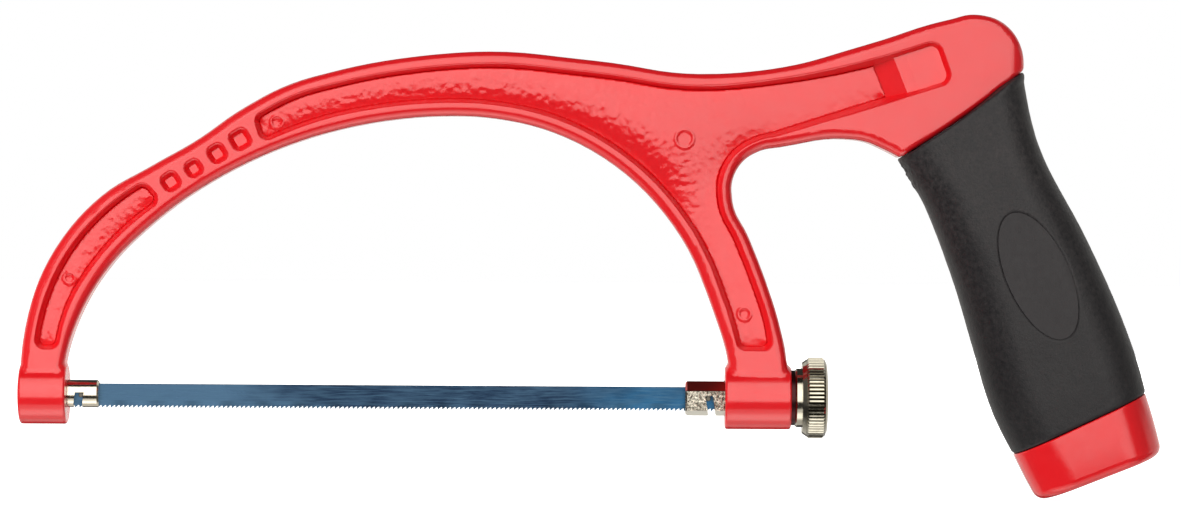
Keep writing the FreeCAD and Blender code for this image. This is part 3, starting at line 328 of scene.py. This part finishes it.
def plain_steel(name, dark, light, low=0.25, high=0.4):
    """Bare or blackened steel with fine turning marks. On the washer, the dark red colours are
    painted shade with a painted reflection of the red casting.
    """
    look = Look(name)
    marks = look.noise(0.3, 4.0, 0.6)
    look.set(Base_Color=look.blend(marks, dark, light), Metallic=0.9)
    look.set(Roughness=look.spread(marks, 0.3, 0.7, low, high))
    look.set(Normal=look.bump(marks, 0.012))
    return look.material


def core_plastic():
    """Plain moulded plastic of the hidden core."""
    look = Look("core_plastic")
    grain = look.noise(0.6, 3.0)
    look.set(Base_Color=look.blend(grain, colour(40, 40, 42), colour(56, 56, 58)))
    look.set(Roughness=look.spread(grain, 0.3, 0.7, 0.55, 0.7))
    look.set(Normal=look.bump(grain, 0.02))
    return look.material


def paint(piece, material):
    piece.data.materials.clear()
    piece.data.materials.append(material)


def new_piece(name, vertices, faces, smooth=True):
    """An object from vertices in metres and faces."""
    mesh = bpy.data.meshes.new(name)
    mesh.from_pydata(vertices, [], faces)
    mesh.polygons.foreach_set("use_smooth", [smooth] * len(mesh.polygons))
    piece = bpy.data.objects.new(name, mesh)
    bpy.context.collection.objects.link(piece)
    return piece


# ------------------------------------------------------------------ the grip

# The sleeve's details, in millimetres: how far they stand out or sink in, how far they reach
# along the surface, and how far below the top the flash has its middle.
LIP, LIP_REACH = 0.3, 1.7
FLASH, FLASH_CENTRE, FLASH_REACH = 0.45, 4.0, 5.0
TOP_EDGE, TOP_EDGE_REACH = 0.35, 0.25
FOOT_EDGE, FOOT_EDGE_REACH = 0.3, 0.3
GROOVE, GROOVE_REACH = 0.32, 0.28


def spline(points, level):
    """A smooth value through (level, value) points, by Catmull-Rom with uneven spacing."""
    last = len(points) - 2
    index = max(0, min(last, sum(1 for point in points[1:-1] if point[0] <= level)))
    (x1, y1), (x2, y2) = points[index], points[index + 1]

    def slope(i):
        if i == 0 or i == len(points) - 1:
            j = min(i, len(points) - 2)
            return (points[j + 1][1] - points[j][1]) / (points[j + 1][0] - points[j][0])
        return (points[i + 1][1] - points[i - 1][1]) / (points[i + 1][0] - points[i - 1][0])

    span = x2 - x1
    t = (level - x1) / span
    rise1, rise2 = slope(index) * span, slope(index + 1) * span
    return ((2 * t ** 3 - 3 * t ** 2 + 1) * y1 + (t ** 3 - 2 * t ** 2 + t) * rise1
            + (3 * t ** 2 - 2 * t ** 3) * y2 + (t ** 3 - t ** 2) * rise2)


def section_at(level):
    """Middle, half width and half thickness of the grip at a height."""
    return [spline([(row[0], row[column]) for row in GRIP_SECTIONS], level)
            for column in (1, 2, 3)]


def section_point(level, turn, grow=0.0):
    """A point of the grip's rounded-rectangle section, by a turn from 0 to 1, and the
    direction that faces outward there."""
    middle, width, thickness = section_at(level)
    corner = CORNER_SHARE * thickness + grow
    width += grow
    thickness += grow
    flat_x, flat_y = 2 * (width - corner), 2 * (thickness - corner)
    quarter = math.pi / 2 * corner
    around = turn * (2 * flat_x + 2 * flat_y + 4 * quarter)
    x, y, heading = width, 0.0, math.pi / 2
    legs = [("line", flat_y / 2)]
    for flat in (flat_x, flat_y, flat_x):
        legs += [("arc", quarter), ("line", flat)]
    legs += [("arc", quarter), ("line", flat_y / 2)]
    for kind, length in legs:
        step = min(length, around)
        if kind == "line":
            x += step * math.cos(heading)
            y += step * math.sin(heading)
        else:
            swing = step / corner
            x += corner * (math.sin(heading + swing) - math.sin(heading))
            y -= corner * (math.cos(heading + swing) - math.cos(heading))
            heading += swing
        around -= step
        if around <= 1e-9:
            break
    return Vector((middle + x, y, level)), Vector((math.sin(heading), -math.cos(heading), 0))


def in_frame(point):
    """From the grip's millimetres to the frame's metres."""
    return Matrix.Rotation(-GRIP_LEAN, 3, "Y") @ point * MM + GRIP_FOOT


def oval_depth(point):
    """Signed distance, about right, from a point on the grip's side to the oval's edge."""
    across, up = point.x - OVAL_CENTRE[0], point.z - OVAL_CENTRE[1]
    along = across * math.cos(OVAL_LEAN) + up * math.sin(OVAL_LEAN)
    aside = up * math.cos(OVAL_LEAN) - across * math.sin(OVAL_LEAN)
    scaled = math.hypot(along / OVAL_LENGTH * 2, aside / OVAL_WIDTH * 2)
    reach = math.hypot(along, aside)
    return reach * (1 - 1 / scaled) if scaled > 1e-6 else -OVAL_WIDTH / 2


def top_seam_at(across):
    """Height of the sleeve's top, which bulges down from a slanted chord."""
    along = across / math.cos(TOP_SEAM_TILT)
    sag = TOP_SEAM_SAG * (1 - (2 * along / TOP_SEAM_CHORD) ** 2) / math.cos(TOP_SEAM_TILT)
    return TOP_SEAM_LEVEL + across * math.tan(TOP_SEAM_TILT) - sag - SEAM_GAP


def sleeve_relief(point, outward, from_top, from_foot):
    """How far the sleeve's surface stands proud of its smooth section, in millimetres.

    It has a lip at its top, some moulding flash on its front edge just below that, rounded
    end edges, a groove round the oval and a slight ripple.
    """
    lip = LIP * abs(outward.x) * math.exp(-(from_top / LIP_REACH) ** 6)
    front = max(0.0, -outward.x) ** 8
    flash = front * math.exp(-((from_top - FLASH_CENTRE) / FLASH_REACH) ** 4)
    lip += FLASH * flash * max(0.0, noise.noise(point * 0.9))
    edge = TOP_EDGE * math.exp(-(from_top / TOP_EDGE_REACH) ** 2)
    edge += FOOT_EDGE * math.exp(-(from_foot / FOOT_EDGE_REACH) ** 2)
    groove = GROOVE * math.exp(-(max(oval_depth(point), 0.0) / GROOVE_REACH) ** 2)
    ripple = 0.035 * noise.noise(point * 0.5) + 0.02 * noise.noise(point * 1.6)
    return lip - edge - groove + ripple


def build_grip_sleeve():
    """The soft sleeve: fine rings between the two slanted seams."""
    rings, columns = 260, 360
    vertices, faces = [], []
    for ring in range(rings + 1):
        share = ring / rings
        for column in range(columns):
            turn = column / columns
            across = section_point(TOP_SEAM_LEVEL * share, turn)[0].x
            low = across * math.tan(FOOT_SEAM_TILT) + SEAM_GAP
            high = top_seam_at(across)
            level = low + (high - low) * share
            point, outward = section_point(level, turn)
            relief = sleeve_relief(point, outward, high - level, level - low)
            vertices.append(in_frame(point + outward * relief))
    for ring in range(rings):
        for column in range(columns):
            here = ring * columns + column
            beside = ring * columns + (column + 1) % columns
            faces.append((here, beside, beside + columns, here + columns))
    add_end_rings(vertices, faces, rings, columns)
    return new_piece("grip_sleeve_soft", vertices, faces)


def add_end_rings(vertices, faces, rings, columns):
    """Close the sleeve with two end faces and a straight inner wall."""
    to_grip = Matrix.Rotation(GRIP_LEAN, 3, "Y")
    foot, top = 0, rings * columns
    inner_foot, inner_top = top + columns, top + 2 * columns
    for start in (foot, top):
        for column in range(columns):
            level = (to_grip @ (vertices[start + column] - GRIP_FOOT) / MM).z
            wall = section_point(max(0.0, level), column / columns, -SLEEVE_WALL)[0]
            wall.z = level
            vertices.append(in_frame(wall))
    for column in range(columns):
        after = (column + 1) % columns
        faces.append((foot + column, inner_foot + column, inner_foot + after, foot + after))
        faces.append((top + column, top + after, inner_top + after, inner_top + column))
        faces.append((inner_foot + column, inner_top + column, inner_top + after, inner_foot + after))


# ------------------------------------------------------------------ the cast web

# The webs' height above the saw's middle plane, the spacing of the points on them, the skin's
# thickness and clearance, and the length that tells a web from a small recess, in millimetres.
WEB_LEVEL = 2.5
WEB_SPACING = 0.36
WEB_SKIN = 0.6
WEB_CLEAR = 0.01
SHORTEST_WEB = 10.0
# A point this near the outline is on it, in millimetres.
ON_EDGE = 0.01
# The web bulges like a membrane: its curvature in the middle of a narrow part, per
# millimetre, the reach over which it levels out, and the rounds of smoothing to get there.
CROWN_PUSH = 0.055
CROWN_REACH = 14.0
CROWN_TURNS = 3000
# How much higher the web stands along the outside of the bow than along its inside.
RIM_RISE = 0.65
# How much of the peel and of the bulge is lost in the head, as shares of the whole.
HEAD_PEEL_LOSS = 0.75
HEAD_CROWN_LOSS = 0.8
# The heights of the coarse and the fine orange peel, and how far from the recess wall they
# are fully there, in millimetres.
COARSE_PEEL = 0.085
FINE_PEEL = 0.03
PEEL_REACH = 1.5
# Ejector marks on the web: x, z and outer diameter, then the height of a mark's rim, the
# depth of its middle and half the width of its rim, in millimetres.
EJECTOR_MARKS = [(-2.8, 27.3, 3.0), (45.9, 64.4, 3.3), (142.0, 61.0, 4.7), (156.4, 19.8, 3.4)]
MARK_RIM = 0.26
MARK_SINK = 0.12
MARK_EDGE = 0.25


def web_loops(casting):
    """The closed edges of the web floors on the seen side, as (x, z) in millimetres."""
    mesh = bmesh.new()
    mesh.from_mesh(casting)
    bmesh.ops.remove_doubles(mesh, verts=mesh.verts, dist=1e-7)
    mesh.verts.index_update()
    mesh.faces.index_update()
    level = -WEB_LEVEL * MM
    floor = [face for face in mesh.faces
             if all(abs(vert.co.y - level) < 0.002 * MM for vert in face.verts)]
    floor_indices = {face.index for face in floor}
    follow = {}
    for face in floor:
        for loop in face.loops:
            beside = {other.index for other in loop.edge.link_faces} - {face.index}
            if not beside & floor_indices:
                start, end = loop.vert, loop.link_loop_next.vert
                follow[start.index] = (end.index, (start.co.x / MM, start.co.z / MM))
    loops = []
    while follow:
        first = current = next(iter(follow))
        points = []
        while current in follow:
            current, point = follow.pop(current)
            points.append(Vector(point))
        if current == first:
            loops.append(points)
    mesh.free()
    return loops


def finer(points, step):
    """The closed outline with points no further apart than step."""
    result = []
    for start, end in zip(points, points[1:] + points[:1]):
        count = max(1, math.ceil((end - start).length / step))
        result += [start.lerp(end, index / count) for index in range(count)]
    return result


def towards_head(x):
    """How far a place along the saw is into the calm part, from 0 to 1."""
    return max(0.0, min(1.0, (x - HEAD_FADE[0]) / (HEAD_FADE[1] - HEAD_FADE[0])))


def web_detail(point, depth):
    """Orange peel, which fades out next to the recess wall and in the head, and ejector marks."""
    place = Vector((point.x, 0.0, point.y))
    peel = COARSE_PEEL * noise.noise(place * 0.75) + FINE_PEEL * noise.noise(place * 1.6)
    marks = 0.0
    for x, z, diameter in EJECTOR_MARKS:
        reach = math.hypot(point.x - x, point.y - z)
        marks += MARK_RIM * math.exp(-((reach - diameter / 2 + MARK_EDGE) / 0.3) ** 4)
        marks -= MARK_SINK * math.exp(-(reach / (diameter / 2 - 2 * MARK_EDGE)) ** 6)
    calm = 1 - HEAD_PEEL_LOSS * towards_head(point.x)
    return calm * min(1.0, depth / PEEL_REACH) * peel + marks


def crown(points, faces, held):
    """Heights of a membrane over the points, blown up a little and held at some points.

    held gives a height for each held point's index. The bulge fades out towards the head.
    """
    pairs = {tuple(sorted(pair)) for face in faces for pair in zip(face, face[1:] + face[:1])}
    first, second = numpy.array(sorted(pairs)).T
    count = numpy.bincount(numpy.concatenate((first, second)), minlength=len(points))
    fading = numpy.array([min(HEAD_CROWN_LOSS, towards_head(point.x)) for point in points])
    push = CROWN_PUSH * (1 - fading) * WEB_SPACING ** 2 / 4
    pull = (WEB_SPACING / CROWN_REACH) ** 2 / 4
    heights = numpy.zeros(len(points))
    for turn in range(CROWN_TURNS):
        total = numpy.bincount(first, heights[second], len(points))
        total += numpy.bincount(second, heights[first], len(points))
        heights = (total / count + push) / (1 + pull)
        heights[list(held)] = list(held.values())
    return heights


def rim_heights(edge):
    """The web stands higher along the outside of the bow than along its inside."""
    turns = sum(start.cross(end) for start, end in zip(edge, edge[1:] + edge[:1]))
    side = 1 if turns > 0 else -1
    heights = []
    for before, after in zip(edge[-2:] + edge[:-2], edge[2:] + edge[:2]):
        outward = -side * (after - before).normalized().x
        heights.append(RIM_RISE * (1 + outward) / 2)
    return heights


def web_surface(casting):
    """The crowned web of every recess: points as (x, height, z) in millimetres, and faces."""
    vertices, faces = [], []
    for outline in web_loops(casting):
        span = max(point.x for point in outline) - min(point.x for point in outline)
        if span < SHORTEST_WEB:
            continue
        edge = finer(outline, WEB_SPACING)
        tree = KDTree(len(edge))
        for index, point in enumerate(edge):
            tree.insert((point.x, point.y, 0), index)
        tree.balance()
        inside = [point for point in lattice(edge)
                  if tree.find((point.x, point.y, 0))[2] > 0.6 * WEB_SPACING]
        rim = [(index, (index + 1) % len(edge)) for index in range(len(edge))]
        points, _, patches = delaunay_2d_cdt(edge + inside, rim, [], 1, 1e-5)[:3]
        nearest = [tree.find((point.x, point.y, 0)) for point in points]
        depths = [found[2] for found in nearest]
        rise = rim_heights(edge)
        held = {index: rise[found[1]]
                for index, found in enumerate(nearest) if found[2] < ON_EDGE}
        heights = crown(points, patches, held)
        start = len(vertices)
        for point, depth, height in zip(points, depths, heights):
            proud = WEB_CLEAR + height + web_detail(point, depth)
            vertices.append((point.x, WEB_LEVEL + proud, point.y))
        faces += [tuple(start + index for index in face) for face in patches]
    return vertices, faces


def build_web(surface, side, name):
    """The web as seen from one side, as a skin whose back lies inside the casting."""
    points, patches = surface
    vertices = [(x * MM, side * height * MM, z * MM) for x, height, z in points]
    faces = [face[::-side] for face in patches]
    piece = new_piece(name, vertices, faces)
    back = piece.modifiers.new("body", "SOLIDIFY")
    back.thickness = WEB_SKIN * MM
    back.offset = -1.0
    return piece


def lattice(edge):
    """Points of an even triangular grid inside the outline."""
    low_x, high_x = min(point.x for point in edge), max(point.x for point in edge)
    low_z, high_z = min(point.y for point in edge), max(point.y for point in edge)
    rise = WEB_SPACING * math.sqrt(3) / 2
    points = []
    for row in range(int((high_z - low_z) / rise) + 1):
        z = low_z + row * rise
        crossings = row_crossings(edge, z)
        for left, right in zip(crossings[::2], crossings[1::2]):
            first = math.ceil((left - low_x) / WEB_SPACING - 0.5 * (row % 2))
            last = math.floor((right - low_x) / WEB_SPACING - 0.5 * (row % 2))
            points += [Vector((low_x + (column + 0.5 * (row % 2)) * WEB_SPACING, z))
                       for column in range(first, last + 1)]
    return points


def row_crossings(edge, z):
    """Where a level line crosses the outline, from left to right."""
    found = []
    for start, end in zip(edge, edge[1:] + edge[:1]):
        if (start.y <= z) != (end.y <= z):
            found.append(start.x + (end.x - start.x) * (z - start.y) / (end.y - start.y))
    return sorted(found)


# ------------------------------------------------------------------ the blade

TEETH_PER_INCH = 24
TOOTH_DEPTH = 0.65
# One tooth: shares of the pitch, and how far down from root (0) to tip (1).
TOOTH_SHAPE = ((0.0, 0.0), (0.05, 1.0), (0.2, 0.8), (0.55, 0.3), (0.85, 0.02))
# The set's wave: its length in teeth, its swing, how far above the roots it begins and how
# far below that it has its full swing.
SET_WAVE = 8
SET_WIDTH = 0.11
SET_REACH = 1.2
SET_FULL = 1.5
# Where the blade's side has rows of points, as shares of the way up from the toothed edge.
SET_ROWS = (0.0, 0.2, 0.45, 1.0)
BACK_CHAMFER = 0.08


def blade_outline(low, high):
    """The toothed edge as (x, z) points, from one end of the blade to the other, with the
    first tooth's place."""
    pitch = 25.4 / TEETH_PER_INCH
    root = low.z + TOOTH_DEPTH
    count = int((high.x - low.x) / pitch) - 1
    first = low.x + (high.x - low.x - count * pitch) / 2
    outline = [(low.x, root)]
    for tooth in range(count):
        start = first + tooth * pitch
        outline += [(start + share * pitch, root + level * (low.z - root))
                    for share, level in TOOTH_SHAPE]
    outline.append((high.x, root))
    return outline, first


def build_blade():
    """The blade with its wavy set: its toothed edge swings to and fro along its length."""
    low, high = [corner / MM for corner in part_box("saw_blade")]
    half = (high.y - low.y) / 2
    set_top = low.z + TOOTH_DEPTH + SET_REACH
    wave = SET_WAVE * 25.4 / TEETH_PER_INCH
    outline, first = blade_outline(low, high)
    vertices, faces = [], []
    for x, bottom in outline:
        levels = [bottom + (set_top - bottom) * share for share in SET_ROWS]
        levels += [high.z - BACK_CHAMFER, high.z]
        swing = SET_WIDTH * math.sin(2 * math.pi * (x - first) / wave)
        for side in (-1, 1):
            for z in levels:
                width = half - BACK_CHAMFER if z == high.z else half
                lean = min(1.0, max(0.0, (set_top - z) / SET_FULL))
                vertices.append((x * MM, (side * width + swing * lean) * MM, z * MM))
    rows = len(levels)
    for column in range(len(outline) - 1):
        near, far = column * 2 * rows, (column + 1) * 2 * rows
        for row in range(rows - 1):
            faces.append((near + row, far + row, far + row + 1, near + row + 1))
            back, back_far = near + rows + row, far + rows + row
            faces.append((back, back + 1, back_far + 1, back_far))
        faces.append((near, near + rows, far + rows, far))
        faces.append((near + rows - 1, far + rows - 1, far + 2 * rows - 1, near + 2 * rows - 1))
    end = (len(outline) - 1) * 2 * rows
    for row in range(rows - 1):
        faces.append((row, row + 1, rows + row + 1, rows + row))
        faces.append((end + row, end + rows + row, end + rows + row + 1, end + row + 1))
    return new_piece("saw_blade_set", vertices, faces, smooth=False)


# ------------------------------------------------------------------ the studio

def build_floor():
    """A plain pale floor just under the saw, which can be looked through from below.

    It ends a little in front of the saw, where the white surround takes over.
    """
    low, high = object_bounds()
    near, far, half, level = low.y - 0.17, 8.0, 6.0, low.z - 0.5 * MM
    vertices = [(-half, near, level), (half, near, level), (half, far, level), (-half, far, level)]
    floor = new_piece("studio_floor", vertices, [(0, 1, 2, 3)], smooth=False)
    look = Look("pale_floor")
    speck = look.noise(30.0, 2.0)
    pale = look.blend(speck, (0.93, 0.93, 0.93, 1), (0.96, 0.96, 0.96, 1))
    # It shines for the camera only, so that it looks as white as the surround.
    seen = look.node("ShaderNodeLightPath").outputs["Is Camera Ray"]
    glow = look.times(seen, 0.88)
    look.set(Base_Color=pale, Roughness=0.9, Emission_Color=pale, Emission_Strength=glow)
    below = look.node("ShaderNodeNewGeometry").outputs["Backfacing"]
    look.set(Alpha=look.compute("SUBTRACT", 1.0, below))
    paint(floor, look.material)
    floor.visible_glossy = False
    floor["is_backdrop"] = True


def build_world():
    """A white surround. Shiny surfaces see it as a soft box in front of the saw, over a lit
    table and under a dark ceiling, and a dim room behind.

    Brightness goes by two angles in degrees: the lift above the horizon, and the swing away
    from straight ahead to either side.
    """
    world = bpy.data.worlds.new("studio_world")
    bpy.context.scene.world = world
    world.use_nodes = True
    graph = Graph(world.node_tree, "Generated")
    lift = graph.compute("DEGREES", graph.compute("ARCSINE", graph.axis("Z")))
    slope = graph.compute("DIVIDE", graph.axis("X"), graph.times(graph.axis("Y"), -1.0))
    swing = graph.compute("DEGREES", graph.compute("ARCTANGENT", slope))
    # In front: the soft box, and round it the lit table below and the dark ceiling above.
    box_height = graph.steps(lift, [(-16, 0.0), (-11, 1.0), (55, 1.0), (62, 0.0)])
    box_width = graph.steps(swing, [(-24, 0.0), (-17, 1.0), (36, 1.0), (46, 0.0)])
    box = graph.times(box_height, box_width)
    around = graph.steps(lift, [(-66, 0.9), (-56, 0.42), (-44, 0.4), (-40, 0.02), (-17, 0.02),
                                (-12, 0.06), (55, 0.06), (62, 0.01)])
    front = graph.larger(box, around)
    # Behind: a dim band to either side, a thin bright horizon and the table again.
    aside = graph.steps(graph.compute("ABSOLUTE", swing),
                        [(14, 0.02), (20, 0.3), (60, 0.3), (70, 0.05)])
    band = graph.steps(lift, [(-50, 0.1), (-40, 1.0), (45, 1.0), (55, 0.1)])
    horizon = graph.steps(lift, [(-14, 0.02), (-9, 0.33), (9, 0.33), (14, 0.02)])
    table = graph.steps(lift, [(-50, 0.3), (-42, 0.02)])
    back = graph.larger(graph.times(aside, band), graph.larger(horizon, table))
    behind = graph.spread(graph.axis("Y"), -0.1, 0.1)
    room = graph.times(graph.mix(behind, front, back), BOX_STRENGTH)
    # Only reflections see the room. The camera sees white, and the rest is even soft light.
    rays = graph.node("ShaderNodeLightPath")
    shiny = rays.outputs["Is Glossy Ray"]
    plain = graph.spread(rays.outputs["Is Camera Ray"], 0.0, 1.0, AMBIENT, 1.0)
    background = graph.tree.nodes["Background"]
    graph.feed(background.inputs["Strength"], graph.mix(shiny, plain, room))
    warm = graph.blend(shiny, (1, 1, 1, 1), (1.0, 0.985, 0.94, 1))
    graph.feed(background.inputs["Color"], warm)


def build_lights():
    """A wide soft box in front of the saw and one behind, for gentle shading."""
    low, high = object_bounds()
    middle = (low + high) / 2
    for name, place in (("front_box", (-0.7, -1.2, 0.5)), ("back_box", (0.7, 1.2, 0.5))):
        data = bpy.data.lights.new(name, "AREA")
        data.shape = "RECTANGLE"
        data.size, data.size_y = 1.2, 0.8
        data.energy = 18.0
        light = bpy.data.objects.new(name, data)
        light.location = middle + Vector(place)
        light.rotation_euler = (middle - light.location).to_track_quat("-Z", "Y").to_euler()
        light.visible_glossy = False
        bpy.context.collection.objects.link(light)


def build_camera():
    """Square on to the saw's side and filling the picture with it."""
    distance, picture_width, roll = 1.1, 0.2792, math.radians(0.344)
    aim = Vector((0.120, 0.0, 0.0337))
    data = bpy.data.cameras.new("camera")
    data.lens = data.sensor_width * distance / picture_width
    camera = bpy.data.objects.new("camera", data)
    camera.location = aim - Vector((0, distance, 0))
    turn = Matrix.Rotation(-roll, 3, "Y") @ Matrix.Rotation(math.pi / 2, 3, "X")
    camera.rotation_euler = turn.to_euler()
    bpy.context.collection.objects.link(camera)
    bpy.context.scene.camera = camera
    bpy.context.scene.view_settings.view_transform = "Standard"


# ------------------------------------------------------------------ putting it together

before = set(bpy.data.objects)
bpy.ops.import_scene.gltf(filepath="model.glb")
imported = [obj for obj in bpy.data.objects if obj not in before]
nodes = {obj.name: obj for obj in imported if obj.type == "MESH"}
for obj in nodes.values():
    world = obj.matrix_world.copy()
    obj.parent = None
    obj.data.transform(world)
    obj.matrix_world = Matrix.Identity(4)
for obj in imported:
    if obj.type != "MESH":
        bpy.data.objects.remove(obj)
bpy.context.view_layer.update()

looks = {
    "bow_frame": red_coat("red_frame_coat", 1.6, web_height=4.0),
    "butt_cap": red_coat("red_cap_plastic", 1.5),
    "grip_core": core_plastic(),
    "grip_badge_left": badge_plastic(),
    "front_blade_holder": turned_nickel(),
    "rear_blade_holder": cast_nickel(),
    "tension_knob": knurled_nickel(),
    # The washer's dark red colours are painted shade, tinted by a painted reflection of the red boss
    # beside it.
    "thrust_washer": plain_steel("washer_steel", colour(40, 18, 19), colour(62, 28, 29)),
    "saw_blade": blade_steel(),
    "front_blade_pin": plain_steel("pin_steel", colour(62, 58, 52), colour(96, 92, 84)),
    "butt_cap_screw": plain_steel("screw_steel", colour(150, 150, 152), colour(190, 190, 192)),
}
looks["grip_badge_right"] = looks["grip_badge_left"]
looks["rear_blade_pin"] = looks["front_blade_pin"]
for name, material in looks.items():
    paint(nodes[name], material)

sleeve = build_grip_sleeve()
paint(sleeve, grip_rubber())
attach(sleeve, "frame")
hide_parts("grip_sleeve")

blade = build_blade()
paint(blade, looks["saw_blade"])
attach(blade, "blade")
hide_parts("saw_blade")

web_shape = web_surface(nodes["bow_frame"].data)
for side, name in ((-1, "web_seen_side"), (1, "web_far_side")):
    web = build_web(web_shape, side, name)
    paint(web, looks["bow_frame"])
    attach(web, "frame")

build_floor()
build_world()
build_lights()
build_camera()
